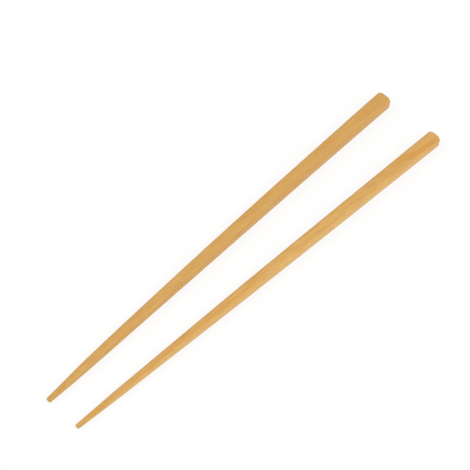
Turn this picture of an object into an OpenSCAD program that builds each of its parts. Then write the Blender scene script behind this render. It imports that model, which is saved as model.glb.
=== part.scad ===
// Pair of bamboo chopsticks lying side by side on a flat surface, tips towards -X.
// Each stick is square with soft edges at the handle, turns round towards the tip and has a domed butt.

/* [Both chopsticks] */
// Length of a chopstick from tip to butt
stick_l = 240; // [180:1:280]
// Length of the quick taper behind the tip
tip_l = 30; // [20:1:50]
// Length from the tip over which the round section turns square
round_l = 120; // [60:1:160]
// Radius of the four long edges along the handle
edge_r = 1.8; // [0.5:0.1:2]
// Rounding of the rim at the tip
tip_rim = 0.6; // [0.2:0.05:0.9]

/* [Left chopstick] */
// Thickness at the tip
left_tip_w = 2.7; // [2.2:0.1:3.5]
// Thickness where the quick taper ends
left_neck_w = 5; // [4:0.1:5.8]
// Thickness halfway along
left_mid_w = 6.7; // [6:0.1:7.4]
// Thickness at the butt
left_butt_w = 8.2; // [7.5:0.1:10]
// Height of the domed butt
left_dome = 2; // [1:0.1:3.5]
// Sideways bow at half length
left_bow = 0.65; // [-2:0.05:2]

/* [Right chopstick] */
// Thickness at the tip
right_tip_w = 2.4; // [2.2:0.1:3.2]
// Thickness where the quick taper ends
right_neck_w = 4.1; // [3.5:0.1:5]
// Thickness halfway along
right_mid_w = 6.2; // [5.2:0.1:6.8]
// Thickness at the butt
right_butt_w = 7.6; // [6.9:0.1:10]
// Height of the domed butt
right_dome = 2; // [1:0.1:3.5]
// Sideways bow at half length
right_bow = -0.15; // [-2:0.05:2]

/* [Layout] */
// Distance between the middles of the two tips
tip_spacing = 19.25; // [12:0.05:40]
// Angle between the two chopsticks
splay = 3.65; // [0:0.05:8]
// How far the left tip reaches past the right tip
tip_stagger = 1; // [0:0.1:10]

/* [Hidden] */

bamboo = "#d6a45e";
// Sections along the body and round the tip's rim
body_rings = 38;
rim_turns = [90, 60, 30];
// Points on each rounded edge of a section
edge_steps = 6;
// Largest edge radius, as a share of the thickness, which leaves the round tip four narrow flats
round_share = 0.48;
// Sides round the butt's ball where it is drawn as a mesh
ball_sides = 96;
// Share of the tip's quick taper that comes off its underside
lift_share = 0.3;
// Spare length behind the butt, which is cut away with the dome
spare_l = 1;
// Depth planed off the underside, which leaves one flat face to lie on
planed = 0.02;
// The pair is centred across its width at the butts
centre_y = (right_butt_w - left_butt_w) / 4;

ring_size = 4 * (edge_steps + 1);

// Thicknesses along a stick, each with its distance from the tip
function taper(tip_w, neck_w, mid_w, butt_w) =
    [[0, tip_w], [tip_l, neck_w], [stick_l / 2, mid_w], [stick_l, butt_w]];

function rise(line, i) = (line[i + 1][1] - line[i][1]) / (line[i + 1][0] - line[i][0]);

// Slope at a point of the taper, which keeps the curve from overshooting
function slope(line, i) =
    i == 0 ? rise(line, 0)
    : i == len(line) - 1 ? rise(line, i - 1)
    : let (before = rise(line, i - 1), after = rise(line, i))
        before * after <= 0 ? 0 : 2 * before * after / (before + after);

// Thickness at a distance x from the tip, on a smooth curve through the taper's points
function thickness(line, x, i = 0) =
    i < len(line) - 2 && x > line[i + 1][0] ? thickness(line, x, i + 1)
    : let (run = line[i + 1][0] - line[i][0], u = min(1, (x - line[i][0]) / run))
        line[i][1] * (2 * u^3 - 3 * u^2 + 1) + slope(line, i) * run * (u^3 - 2 * u^2 + u)
        + line[i + 1][1] * (3 * u^2 - 2 * u^3) + slope(line, i + 1) * run * (u^3 - u^2);

// Share of the way from round to square at a distance x from the tip
function squareness(x) = let (u = min(1, x / round_l)) u * u * (3 - 2 * u);

// Radius of the edges of a section of thickness w
function corner(w, x) = min(round_share * w, w / 2 + (edge_r - w / 2) * squareness(x));

// Height of the underside, which is flat behind the neck and lifts where the tip thins more quickly
function lift(line, x) =
    let (straight_w = line[1][1] - rise(line, 1) * tip_l)
        lift_share * max(0, straight_w - line[0][1]) * max(0, 1 - x / tip_l)^2;

// Distance from the tip and share of the full section, for each ring from the tip to behind the butt
function rings(tip_w) = concat(
    [for (turn = rim_turns)
        [tip_rim * (1 - sin(turn)), 1 - 2 * tip_rim * (1 - cos(turn)) / tip_w]],
    [for (i = [0 : body_rings])
        [tip_rim + (stick_l + spare_l - tip_rim) * i / body_rings, 1]]
);

// One ring of points: a square of thickness w with rounded edges, drawn in to a share at the tip's rim
function section(line, bow, x, share) =
    let (w = thickness(line, x), r = corner(w, x), side = w / 2 - r,
         y = bow * 4 * x * (stick_l - x) / stick_l^2, z = w / 2 + lift(line, x))
    [for (quarter = [0 : 3], step = [0 : edge_steps])
        let (middle = 45 + 90 * quarter, turn = 90 * (quarter + step / edge_steps))
        [x, y + share * (side * sign(cos(middle)) + r * cos(turn)),
            z + share * (side * sign(sin(middle)) + r * sin(turn))]];

// The stick before its underside is planed and its butt is domed, with its tip at the origin, along +X
module blank(line, bow) {
    stations = rings(line[0][1]);
    last = len(stations) - 1;
    skin = [for (i = [0 : last - 1], j = [0 : ring_size - 1])
        let (next = (j + 1) % ring_size, low = i * ring_size, high = low + ring_size)
        each [[low + j, low + next, high + next], [low + j, high + next, high + j]]];
    tip_end = [for (j = [ring_size - 1 : -1 : 0]) j];
    butt_end = [for (j = [0 : ring_size - 1]) last * ring_size + j];
    polyhedron(
        points = [for (station = stations) each section(line, bow, station[0], station[1])],
        faces = concat(skin, [tip_end, butt_end])
    );
}

// What is cut from the blank to leave a ball-shaped butt: a block with the ball's hollow in it
module dome_waste(butt_w, dome) {
    edge_reach = sqrt(2) * (butt_w / 2 - edge_r) + edge_r;
    ball_r = (edge_reach^2 + dome^2) / (2 * dome);
    translate([stick_l - ball_r, 0, butt_w / 2])
        difference() {
            translate([0, -butt_w, -butt_w])
                cube([ball_r + 2 * spare_l, 2 * butt_w, 2 * butt_w]);
            sphere(ball_r, $fn = ball_sides);
        }
}

// A whole stick with its tip at the origin, along +X, resting on z = 0
module chopstick(line, dome, bow) {
    butt_w = line[len(line) - 1][1];
    difference() {
        translate([0, 0, -planed])
            difference() {
                blank(line, bow);
                dome_waste(butt_w, dome);
            }
        translate([0, -butt_w, -butt_w])
            cube([stick_l + spare_l, 2 * butt_w, butt_w]);
    }
}

module left_chopstick() {
    color(bamboo)
        translate([-(stick_l + tip_stagger) / 2, tip_spacing / 2 + centre_y, 0])
            rotate(splay / 2)
                chopstick(
                    taper(left_tip_w, left_neck_w, left_mid_w, left_butt_w), left_dome, left_bow
                );
}

module right_chopstick() {
    color(bamboo)
        translate([-(stick_l - tip_stagger) / 2, -tip_spacing / 2 + centre_y, 0])
            rotate(-splay / 2)
                chopstick(
                    taper(right_tip_w, right_neck_w, right_mid_w, right_butt_w), right_dome, right_bow
                );
}

left_chopstick();
right_chopstick();
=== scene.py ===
import math

import bpy
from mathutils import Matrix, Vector, noise


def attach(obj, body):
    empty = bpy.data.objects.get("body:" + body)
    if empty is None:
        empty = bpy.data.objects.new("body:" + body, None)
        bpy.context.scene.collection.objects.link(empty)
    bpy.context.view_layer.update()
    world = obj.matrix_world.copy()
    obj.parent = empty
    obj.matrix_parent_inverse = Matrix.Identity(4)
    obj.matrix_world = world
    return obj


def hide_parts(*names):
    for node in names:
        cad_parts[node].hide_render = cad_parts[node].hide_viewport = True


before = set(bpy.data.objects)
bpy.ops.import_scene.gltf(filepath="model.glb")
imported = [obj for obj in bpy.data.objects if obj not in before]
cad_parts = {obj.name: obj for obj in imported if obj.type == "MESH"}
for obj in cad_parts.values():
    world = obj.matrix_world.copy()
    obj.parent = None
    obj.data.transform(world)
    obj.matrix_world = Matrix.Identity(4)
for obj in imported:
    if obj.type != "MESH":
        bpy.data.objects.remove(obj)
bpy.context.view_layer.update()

mm = 0.001
print("frame loaded:", sorted(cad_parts))

bpy.context.scene.view_settings.view_transform = "Standard"


def linearColour(hexColour):
    channels = [int(hexColour[i:i + 2], 16) / 255 for i in (1, 3, 5)]
    return [c / 12.92 if c <= 0.04045 else ((c + 0.055) / 1.055) ** 2.4 for c in channels] + [1.0]


def addNode(tree, kind, settings, links):
    node = tree.nodes.new(kind)
    for key, value in settings.items():
        if isinstance(key, str) and hasattr(node, key):
            setattr(node, key, value)
        else:
            node.inputs[key].default_value = value
    for key, socket in links.items():
        tree.links.new(socket, node.inputs[key])
    return node


def newMaterial(name):
    material = bpy.data.materials.new(name)
    material.use_nodes = True
    material.node_tree.nodes.clear()
    return material, material.node_tree


# The shape that both sticks share, in mm
stickShape = {
    "length": 240,
    "tipLength": 30,      # quick taper behind the tip
    "roundLength": 120,   # the round section turns square over this length
    "edgeRadius": 1.8,    # long edges of the handle
    "roundShare": 0.48,   # largest edge radius as a share of the thickness
    "liftShare": 0.3,     # share of the quick taper that comes off the underside
    "tipRim": 0.6,        # rounding of the rim at the tip
    "buttRim": 0.6,       # softening of the rim of the domed butt
    "sandedOff": 0.012,   # most that hand sanding takes off the thickness, as a share
    "sandedLength": 26,   # length of one shallow sanded dip
    "bodyRings": 96,
    "domeRings": 10,      # rings of the dome inside its rim
    "domeInner": 0.8,     # share of the section at which the first of them lies
    "rimTurns": (90, 68, 45, 22),   # degrees round the rim of the tip, one ring each
    "rimSteps": 6,        # faces across the soft rim of the butt
    "edgeSteps": 9,       # faces across a long edge
    "smoothAngle": 35,    # degrees, above which an edge would stay crisp
}
ringSize = 4 * (stickShape["edgeSteps"] + 1)   # vertices in one ring

leftStick = {
    "name": "left_stick",
    "node": "left_chopstick",
    "taper": (2.7, 5.0, 6.7, 8.2),   # thickness at the tip, neck, middle and butt
    "dome": 2.0,                     # height of the ball-shaped butt
    "crownOff": 0.25,                # sanded off the crown of the butt
    "bow": 0.65,                     # sideways at half length
    "tipAt": (-120.5, 9.475),
    "turn": 1.825,                   # degrees
    "seed": 3.7,                     # draws the sanded dips
}

rightStick = {
    "name": "right_stick",
    "node": "right_chopstick",
    "taper": (2.4, 4.1, 6.2, 7.6),
    "dome": 2.0,
    "crownOff": 0.06,
    "bow": -0.15,
    "tipAt": (-119.5, -9.775),
    "turn": -1.825,
    "seed": 11.2,
}


def taperPoints(stick):
    length = stickShape["length"]
    return list(zip((0, stickShape["tipLength"], length / 2, length), stick["taper"]))


def taperSlope(points, i):
    rises = [(b[1] - a[1]) / (b[0] - a[0]) for a, b in zip(points, points[1:])]
    if i == 0 or i == len(points) - 1:
        return rises[min(i, len(rises) - 1)]
    return 2 * rises[i - 1] * rises[i] / (rises[i - 1] + rises[i])   # keeps the curve from overshooting


def thicknessAt(stick, x):
    points = taperPoints(stick)
    i = max(k for k in range(len(points) - 1) if k == 0 or x > points[k][0])
    run = points[i + 1][0] - points[i][0]
    u = min(1, (x - points[i][0]) / run)
    start, end = points[i][1], points[i + 1][1]
    curve = start * (2 * u**3 - 3 * u**2 + 1) + end * (3 * u**2 - 2 * u**3)
    return (curve + taperSlope(points, i) * run * (u**3 - 2 * u**2 + u)
            + taperSlope(points, i + 1) * run * (u**3 - u**2))


def edgeRadiusAt(thickness, x):
    u = min(1, x / stickShape["roundLength"])
    squareness = u * u * (3 - 2 * u)
    radius = thickness / 2 + (stickShape["edgeRadius"] - thickness / 2) * squareness
    return min(stickShape["roundShare"] * thickness, radius)


def liftAt(stick, x):
    tip, neck, middle = stick["taper"][:3]
    tipLength = stickShape["tipLength"]
    rise = (middle - neck) / (stickShape["length"] / 2 - tipLength)
    quickTaper = neck - rise * tipLength - tip
    return stickShape["liftShare"] * quickTaper * max(0, 1 - x / tipLength) ** 2


def ballRadius(stick):
    butt, edge, dome = stick["taper"][3], stickShape["edgeRadius"], stick["dome"]
    reach = math.sqrt(2) * (butt / 2 - edge) + edge   # from the axis to the middle of a long edge
    return (reach**2 + dome**2) / (2 * dome)


def ballFace(stick, distance):
    radius = ballRadius(stick)
    return stickShape["length"] - stick["crownOff"] - radius + math.sqrt(radius**2 - distance**2)


def ringPlaces(stick):
    tip, butt = stick["taper"][0], stick["taper"][3]
    rim, bodyRings, domeRings = stickShape["tipRim"], stickShape["bodyRings"], stickShape["domeRings"]
    bodyEnd = stickShape["length"] - stick["dome"] - 2 * stickShape["buttRim"]   # clear of the soft rim
    places = []
    for turn in map(math.radians, stickShape["rimTurns"]):
        places.append((rim * (1 - math.sin(turn)), 1 - 2 * rim * (1 - math.cos(turn)) / tip))
    for i in range(bodyRings + 1):
        places.append((rim + (bodyEnd - rim) * i / bodyRings, 1.0))
    for share in [1] + [stickShape["domeInner"] * i / domeRings for i in range(domeRings, 0, -1)]:
        places.append((ballFace(stick, share * butt / 2), share))
    return places


def ringMiddle(stick, x):
    dip = noise.noise(Vector((x / stickShape["sandedLength"], stick["seed"], 0)))
    thickness = thicknessAt(stick, x) * (1 - stickShape["sandedOff"] * (0.5 + 0.5 * dip))
    length = stickShape["length"]
    across = stick["bow"] * 4 * x * (length - x) / length**2
    return thickness, across, thickness / 2 + liftAt(stick, x)   # the underside stays flat on the table


def addRing(stick, x, share):
    thickness, across, height = ringMiddle(stick, x)
    bpy.ops.mesh.select_all(action="DESELECT")
    bpy.ops.mesh.primitive_plane_add(
        size=thickness * share * mm, location=(x * mm, across * mm, height * mm),
        rotation=(0, math.pi / 2, 0))
    bpy.ops.mesh.bevel(
        offset=edgeRadiusAt(thickness, x) * share * mm, segments=stickShape["edgeSteps"],
        affect="VERTICES", clamp_overlap=False)
    bpy.ops.mesh.delete(type="ONLY_FACE")


def selectRing(piece, ring):
    bpy.ops.mesh.select_all(action="DESELECT")
    bpy.ops.object.mode_set(mode="OBJECT")
    for vertex in piece.data.vertices[ring * ringSize:(ring + 1) * ringSize]:
        vertex.select = True
    bpy.ops.object.mode_set(mode="EDIT")


def domeButt(piece, stick, firstRing):
    bpy.ops.object.mode_set(mode="OBJECT")
    for vertex in piece.data.vertices[firstRing * ringSize:]:   # the flat rings move onto the ball
        across, height = ringMiddle(stick, vertex.co.x / mm)[1:]
        distance = math.hypot(vertex.co.y / mm - across, vertex.co.z / mm - height)
        vertex.co.x = ballFace(stick, distance) * mm
    bpy.ops.object.mode_set(mode="EDIT")


def modelStick(stick):
    bpy.ops.object.select_all(action="DESELECT")
    places = ringPlaces(stick)
    rimRing = len(places) - stickShape["domeRings"] - 1
    bpy.ops.mesh.primitive_plane_add(size=mm)
    piece = bpy.context.object
    piece.name = piece.data.name = stick["name"]
    bpy.ops.object.mode_set(mode="EDIT")
    bpy.ops.mesh.delete(type="VERT")   # the rings below take the first plane's place
    for x, share in places:
        addRing(stick, x, share)
    bpy.ops.mesh.select_all(action="SELECT")
    bpy.ops.mesh.bridge_edge_loops()
    domeButt(piece, stick, rimRing)
    for ring in (0, len(places) - 1):   # both ends are closed
        selectRing(piece, ring)
        bpy.ops.mesh.edge_face_add()
    bpy.ops.mesh.select_all(action="SELECT")
    bpy.ops.mesh.normals_make_consistent(inside=False)
    selectRing(piece, rimRing)
    bpy.ops.mesh.bevel(offset=stickShape["buttRim"] * mm, segments=stickShape["rimSteps"], affect="EDGES")
    bpy.ops.object.mode_set(mode="OBJECT")
    piece.location = (stick["tipAt"][0] * mm, stick["tipAt"][1] * mm, 0)
    piece.rotation_euler = (0, 0, math.radians(stick["turn"]))
    bpy.ops.object.transform_apply(location=True, rotation=True, scale=True)
    bpy.ops.object.shade_smooth_by_angle(angle=math.radians(stickShape["smoothAngle"]))
    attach(piece, "root")
    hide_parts(stick["node"])
    print("modelled", piece.name, len(piece.data.polygons), "faces")
    return piece


leftPiece = modelStick(leftStick)
rightPiece = modelStick(rightStick)

# Bamboo, planed, sanded and lightly oiled: golden, with long fine fibres that show as streaks on the
# sides and as dots on the ends, and a soft satin sheen
bambooGrain = {
    "patterns": {   # length and width in mm, then detail and roughness of the noise
        "fibre": (8, 0.5, 4.0, 0.6),        # fine streaks
        "hairline": (22, 0.15, 1.0, 0.5),   # single fibres, which show only close up
        "band": (50, 2.2, 2.0, 0.5),        # broad pale and dark bands
        "mottle": (16, 4.0, 2.0, 0.5),
    },
    "toneShares": {"fibre": 0.60, "band": 0.22, "mottle": 0.18},   # of the contrast
    "hairTone": 0.45,             # contrast of the single fibres
    "seedSteps": (31, 7, 5),      # mm that the grain moves along, across and up for each unit of its seed
    "wander": (45, 14.0),         # mm along and across over which the fibres drift sideways
    "wanderBy": 1.2,              # width of that drift in mm
    "bundle": (14, 0.9),          # length and spacing of the brown vessel bundles in mm
    "bundleEdge": (0.08, 0.34),   # a bundle fades out between these shares of its spacing
    "bundleShare": 0.28,          # most that the vessel colour covers
    "tipFrom": (120, 40),         # mm from the tip between which its own tone sets in
    "paleTo": -2.0,               # mm across at which the pale side with its painted sheen is palest, at the tip
    "paleSlope": 0.0095,          # and how far that line moves outwards for each mm along
    "markDepth": 2.5,             # mm that a streak or a patch reaches into the stick
    "markCore": 0.2,              # share of a mark's size within which it has its full strength
    "amberTop": 1.5,              # a streak is multiplied by this less the fibre noise
    "shades": {                   # each at its tone
        "dark": (0.2, "#BC863C"),
        "honey": (0.42, "#CC994D"),
        "gold": (0.54, "#D4A359"),
        "straw": (0.8, "#E0B36A"),
    },
    "amber": "#D69A46",           # warmer streaks
    "vessel": "#A8713A",
    "ior": 1.5,
    "specular": 0.35,
    "roughness": (0.59, 0.47),    # on the dark and on the pale fibres
    "roughFrom": (0.3, 0.7),      # fibre noise that gives those two
    "relief": 0.025,              # height of the fibre ridges in mm
    "reliefShare": 0.6,           # how strongly they shade
}

leftGrain = {
    "seed": 9.18,
    "bend": 0.00020,            # mm that the fibres run sideways for each mm along, squared
    "tone": 0.53,
    "contrast": 0.72,
    "tipTone": -0.03,           # added at the tip
    "paleSideAndSheen": (0.10, -0.3),   # tone of the paler near side with its painted sheen, and where it starts, in mm across at the tip
    "streaks": (   # place along and across the upper face, half length and width, turn in degrees, strength
        ((8, -0.6), (5, 0.7), 0, 0.8),
        ((28, -0.7), (8, 0.6), 0, 0.7),
        ((56, -0.7), (30, 0.9), 0, 0.5),
        ((112, 1.2), (14, 0.6), -2, 0.4),
        ((141, -2.0), (9, 0.7), -3, 0.4),
        ((196, 1.3), (9, 0.7), -6, 0.7),
        ((222, -1.0), (9, 0.7), -5, 0.5),
    ),
    "patches": (   # paler and darker patches, whose strength is the tone that they add
        ((26, -1.4), (26, 2.0), 0, 0.10),
        ((58, -1.9), (26, 1.6), 0, 0.08),
        ((82, 1.0), (18, 2.4), 0, 0.08),
        ((228, -1.0), (18, 5.0), 0, -0.045),
    ),
}

rightGrain = {
    "seed": 28.5,
    "bend": 0.00024,
    "tone": 0.60,
    "contrast": 1.5,
    "tipTone": -0.07,
    "paleSideAndSheen": (0.30, -0.8),
    "streaks": (
        ((120, 0), (300, 8), 0, 0.1),   # the whole stick is a little warmer
        ((13, -0.4), (14, 1.0), 0, 0.9),
        ((48, -0.7), (34, 1.0), 0, 0.75),
        ((90, -0.7), (34, 1.1), -1, 0.6),
        ((112, -0.8), (12, 0.6), -2, 0.5),
        ((150, 1.4), (11, 0.6), -4, 0.5),
        ((178, -0.6), (7, 0.7), -5, 0.6),
        ((214, 2.1), (8, 0.9), -8, 0.9),
        ((219, -0.6), (10, 2.2), -10, 0.8),
        ((231, -2.2), (14, 2.5), -4, 1.0),
    ),
    "patches": (
        ((50, -1.8), (48, 2.0), 0, 0.08),
        ((39, 1.3), (28, 2.0), 0, 0.15),
        ((160, 0.8), (45, 4.5), 0, 0.09),
        ((212, -0.5), (16, 4.0), 0, -0.08),
    ),
}


def stickSpace(tree, stick):   # mm along, across and up from the tip of this stick
    place = addNode(tree, "ShaderNodeTexCoord", {}, {}).outputs["Object"]
    return addNode(tree, "ShaderNodeMapping", {
        "vector_type": "TEXTURE", "Location": (stick["tipAt"][0] * mm, stick["tipAt"][1] * mm, 0),
        "Rotation": (0, 0, math.radians(stick["turn"])), "Scale": (mm, mm, mm)},
        {"Vector": place}).outputs[0]


def bentFibres(tree, inStick, grain):   # the fibres run out over the edge towards the butt
    along, across, up = addNode(tree, "ShaderNodeSeparateXYZ", {}, {0: inStick}).outputs
    square = addNode(tree, "ShaderNodeMath", {"operation": "MULTIPLY"}, {0: along, 1: along}).outputs[0]
    sideways = addNode(tree, "ShaderNodeMath", {"operation": "MULTIPLY_ADD", 1: grain["bend"]},
                       {0: square, 2: across}).outputs[0]
    bent = addNode(tree, "ShaderNodeCombineXYZ", {}, {"X": along, "Y": sideways, "Z": up}).outputs[0]
    steps = [grain["seed"] * step for step in bambooGrain["seedSteps"]]
    return addNode(tree, "ShaderNodeVectorMath", {"operation": "ADD", 1: steps}, {0: bent}).outputs[0]


def fibreDrift(tree, bent):
    length, width = bambooGrain["wander"]
    by = bambooGrain["wanderBy"]
    drawnOut = addNode(tree, "ShaderNodeVectorMath", {
        "operation": "DIVIDE", 1: (length, width, width)}, {0: bent}).outputs[0]
    drift = addNode(tree, "ShaderNodeTexNoise", {"Scale": 1.0, "Detail": 1.0}, {"Vector": drawnOut})
    return addNode(tree, "ShaderNodeVectorMath", {   # as far to one side as to the other
        "operation": "MULTIPLY_ADD", 1: (0, by, by), 2: (0, -by / 2, -by / 2)},
        {0: drift.outputs["Color"]}).outputs[0]


def fibrePatterns(tree, alongFibre):
    patterns = {}
    for kind, (length, width, detail, roughness) in bambooGrain["patterns"].items():
        drawnOut = addNode(tree, "ShaderNodeVectorMath", {
            "operation": "DIVIDE", 1: (length, width, width)}, {0: alongFibre}).outputs[0]
        patterns[kind] = addNode(tree, "ShaderNodeTexNoise", {
            "Scale": 1.0, "Detail": detail, "Roughness": roughness}, {"Vector": drawnOut}).outputs["Fac"]
    return patterns


def vesselShare(tree, alongFibre):
    length, spacing = bambooGrain["bundle"]
    core, edge = bambooGrain["bundleEdge"]
    drawnOut = addNode(tree, "ShaderNodeVectorMath", {
        "operation": "DIVIDE", 1: (length, spacing, spacing)}, {0: alongFibre}).outputs[0]
    bundle = addNode(tree, "ShaderNodeTexVoronoi", {"Scale": 1.0}, {"Vector": drawnOut}).outputs["Distance"]
    return addNode(tree, "ShaderNodeMapRange", {
        "interpolation_type": "SMOOTHSTEP", "From Min": core, "From Max": edge,
        "To Min": bambooGrain["bundleShare"], "To Max": 0.0}, {"Value": bundle}).outputs["Result"]


def markShare(tree, stick, drifted, mark):
    (x, y), (halfLength, halfWidth), turn, strength = mark
    top = thicknessAt(stick, x) + liftAt(stick, x)
    spot = addNode(tree, "ShaderNodeMapping", {
        "vector_type": "TEXTURE", "Location": (x, y, top), "Rotation": (0, 0, math.radians(turn)),
        "Scale": (halfLength, halfWidth, bambooGrain["markDepth"])}, {"Vector": drifted}).outputs[0]
    reach = addNode(tree, "ShaderNodeVectorMath", {"operation": "LENGTH"}, {0: spot}).outputs["Value"]
    return addNode(tree, "ShaderNodeMapRange", {
        "interpolation_type": "SMOOTHSTEP", "From Min": 1.0, "From Max": bambooGrain["markCore"],
        "To Min": 0.0, "To Max": strength}, {"Value": reach}).outputs["Result"]


def grainTone(tree, inStick, patterns, grain):   # 0 is dark and 1 is pale
    along, across = addNode(tree, "ShaderNodeSeparateXYZ", {}, {0: inStick}).outputs[:2]
    weights = {kind: grain["contrast"] * share for kind, share in bambooGrain["toneShares"].items()}
    weights["hairline"] = bambooGrain["hairTone"]
    base = grain["tone"] - 0.5 * sum(weights.values())   # a noise is 0.5 on average
    tipFrom, tipTo = bambooGrain["tipFrom"]
    tone = addNode(tree, "ShaderNodeMapRange", {
        "interpolation_type": "SMOOTHSTEP", "From Min": tipFrom, "From Max": tipTo,
        "To Min": base, "To Max": base + grain["tipTone"]}, {"Value": along}).outputs["Result"]
    for kind, weight in weights.items():
        tone = addNode(tree, "ShaderNodeMath", {"operation": "MULTIPLY_ADD", 1: weight},
                       {0: patterns[kind], 2: tone}).outputs[0]
    paleAndSheenTone, paleFrom = grain["paleSideAndSheen"]   # the near side is paler: partly paler wood from nearer the hollow of the cane, partly painted sheen and light on the side that faces the key lamp
    nearSide = addNode(tree, "ShaderNodeMath", {"operation": "MULTIPLY_ADD", 1: bambooGrain["paleSlope"]},
                       {0: along, 2: across}).outputs[0]
    paleSideAndSheen = addNode(tree, "ShaderNodeMapRange", {
        "interpolation_type": "SMOOTHSTEP", "From Min": paleFrom, "From Max": bambooGrain["paleTo"],
        "To Min": 0.0, "To Max": paleAndSheenTone}, {"Value": nearSide}).outputs["Result"]
    return addNode(tree, "ShaderNodeMath", {"operation": "ADD"}, {0: tone, 1: paleSideAndSheen}).outputs[0]


def grainColour(tree, tone, amber, vessels):
    shaded = addNode(tree, "ShaderNodeValToRGB", {}, {"Fac": tone})
    ramp = shaded.color_ramp.elements
    for position, shade in bambooGrain["shades"].values():
        ramp.new(position).color = linearColour(shade)
    ramp.remove(ramp[0])   # the black and the white that a new ramp has at its ends
    ramp.remove(ramp[len(ramp) - 1])
    colour = shaded.outputs["Color"]
    for shade, share in (("amber", amber), ("vessel", vessels)):
        colour = addNode(tree, "ShaderNodeMix", {"data_type": "RGBA", 7: linearColour(bambooGrain[shade])},
                         {0: share, 6: colour}).outputs[2]   # sockets 6 and 7 are its two colours
    return colour


def bambooMaterial(name, stick, grain):
    material, tree = newMaterial(name)
    inStick = stickSpace(tree, stick)
    bent = bentFibres(tree, inStick, grain)
    drift = fibreDrift(tree, bent)
    alongFibre = addNode(tree, "ShaderNodeVectorMath", {"operation": "ADD"}, {0: bent, 1: drift}).outputs[0]
    drifted = addNode(tree, "ShaderNodeVectorMath", {"operation": "ADD"}, {0: inStick, 1: drift}).outputs[0]
    patterns = fibrePatterns(tree, alongFibre)
    tone = grainTone(tree, inStick, patterns, grain)
    for patch in grain["patches"]:
        share = markShare(tree, stick, drifted, patch)
        tone = addNode(tree, "ShaderNodeMath", {"operation": "ADD"}, {0: tone, 1: share}).outputs[0]
    amber = markShare(tree, stick, drifted, grain["streaks"][0])
    for streak in grain["streaks"][1:]:
        share = markShare(tree, stick, drifted, streak)
        amber = addNode(tree, "ShaderNodeMath", {"operation": "ADD"}, {0: amber, 1: share}).outputs[0]
    uneven = addNode(tree, "ShaderNodeMath", {"operation": "SUBTRACT", 0: bambooGrain["amberTop"]},
                     {1: patterns["fibre"]}).outputs[0]
    amber = addNode(tree, "ShaderNodeMath", {"operation": "MULTIPLY"}, {0: amber, 1: uneven}).outputs[0]
    colour = grainColour(tree, tone, amber, vesselShare(tree, alongFibre))
    (darkFibre, paleFibre), (rougher, smoother) = bambooGrain["roughFrom"], bambooGrain["roughness"]
    rough = addNode(tree, "ShaderNodeMapRange", {
        "From Min": darkFibre, "From Max": paleFibre, "To Min": rougher, "To Max": smoother},
        {"Value": patterns["fibre"]}).outputs["Result"]
    relief = addNode(tree, "ShaderNodeBump", {
        "Strength": bambooGrain["reliefShare"], "Distance": bambooGrain["relief"] * mm},
        {"Height": patterns["fibre"]}).outputs["Normal"]
    surface = addNode(tree, "ShaderNodeBsdfPrincipled", {
        "IOR": bambooGrain["ior"], "Specular IOR Level": bambooGrain["specular"]},
        {"Base Color": colour, "Roughness": rough, "Normal": relief})
    addNode(tree, "ShaderNodeOutputMaterial", {}, {"Surface": surface.outputs["BSDF"]})
    return material


leftPiece.data.materials.append(bambooMaterial("sanded_bamboo_left", leftStick, leftGrain))
rightPiece.data.materials.append(bambooMaterial("sanded_bamboo_right", rightStick, rightGrain))
print("bamboo on both sticks")

# A matt white paper floor and a white sky, with a large soft lamp and a smaller one, in metres
studio = {
    "floorSize": 6.0,
    "floor": "#FFFFFF",
    "floorGlow": 0.82,       # share of plain white that the camera sees in the floor
    "sky": "#FFFFFF",
    "worldStrength": 0.59,   # what lights the object; the camera sees plain white
    "keyPlace": (0.7, -1.32, 1.6),
    "keySize": 1.4,
    "keyPower": 17.6,
    "fillPlace": (-0.5, 0.6, 0.9),
    "fillSize": 0.9,
    "fillPower": 4.0,
}


def seenRays(tree):
    path = addNode(tree, "ShaderNodeLightPath", {}, {}).outputs
    seen = path["Is Camera Ray"]
    for ray in ("Is Glossy Ray", "Is Transmission Ray"):
        seen = addNode(tree, "ShaderNodeMath", {"operation": "MAXIMUM"}, {0: seen, 1: path[ray]}).outputs[0]
    return seen


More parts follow.
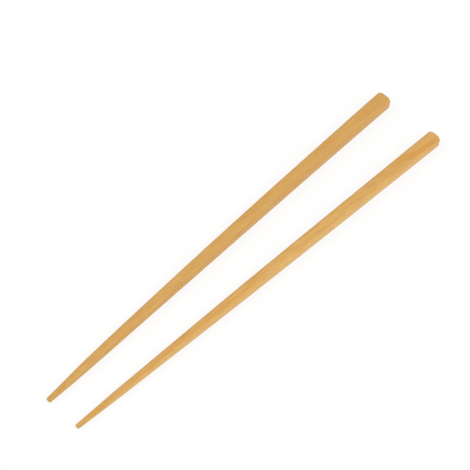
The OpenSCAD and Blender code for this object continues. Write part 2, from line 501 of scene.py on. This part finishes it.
def floorMaterial():
    material, tree = newMaterial("matt_white_paper")
    paper = addNode(tree, "ShaderNodeBsdfDiffuse", {"Color": linearColour(studio["floor"])}, {})
    white = addNode(tree, "ShaderNodeEmission", {"Strength": 1.0}, {})
    share = addNode(tree, "ShaderNodeMath", {"operation": "MULTIPLY", 1: studio["floorGlow"]},
                    {0: seenRays(tree)})
    both = addNode(tree, "ShaderNodeMixShader", {},
                   {0: share.outputs[0], 1: paper.outputs[0], 2: white.outputs[0]})
    addNode(tree, "ShaderNodeOutputMaterial", {}, {"Surface": both.outputs[0]})
    return material


def addStudio():
    bpy.ops.object.select_all(action="DESELECT")
    bpy.ops.mesh.primitive_plane_add(size=studio["floorSize"])
    floor = bpy.context.object
    floor.name = "floor"
    floor.data.materials.append(floorMaterial())
    world = bpy.data.worlds.new("studio")
    world.use_nodes = True
    tree = world.node_tree
    tree.nodes.clear()
    level = addNode(tree, "ShaderNodeMapRange", {
        "To Min": studio["worldStrength"], "To Max": 1.0}, {"Value": seenRays(tree)})
    sky = addNode(tree, "ShaderNodeBackground", {"Color": linearColour(studio["sky"])},
                  {"Strength": level.outputs["Result"]})
    addNode(tree, "ShaderNodeOutputWorld", {}, {"Surface": sky.outputs[0]})
    bpy.context.scene.world = world
    for name in ("key", "fill"):
        place = Vector(studio[name + "Place"])
        bpy.ops.object.light_add(type="AREA", location=place)
        lamp = bpy.context.object
        lamp.name = name
        lamp.data.size = studio[name + "Size"]
        lamp.data.energy = studio[name + "Power"]
        lamp.rotation_euler = place.to_track_quat("Z", "Y").to_euler()
    print("studio lit")


addStudio()

# A steep view from beside the tips, in mm
cameraSet = {
    "azimuth": -43.945,   # degrees, 0 looks along +Y
    "elevation": 60.0,
    "distance": 784.2,
    "aim": (6.08, 14.1, 0),
    "lens": 120,
    "sensor": 36,
    "clipStart": 10,
}


def addCamera():
    azimuth, elevation = math.radians(cameraSet["azimuth"]), math.radians(cameraSet["elevation"])
    back = Vector((math.sin(azimuth) * math.cos(elevation), -math.cos(azimuth) * math.cos(elevation),
                   math.sin(elevation)))
    aim = Vector(cameraSet["aim"]) * mm
    bpy.ops.object.camera_add(location=aim + back * cameraSet["distance"] * mm)
    camera = bpy.context.object
    camera.rotation_euler = back.to_track_quat("Z", "Y").to_euler()
    camera.data.lens = cameraSet["lens"]
    camera.data.sensor_width = cameraSet["sensor"]
    camera.data.clip_start = cameraSet["clipStart"] * mm
    bpy.context.scene.camera = camera
    print("camera set")


addCamera()
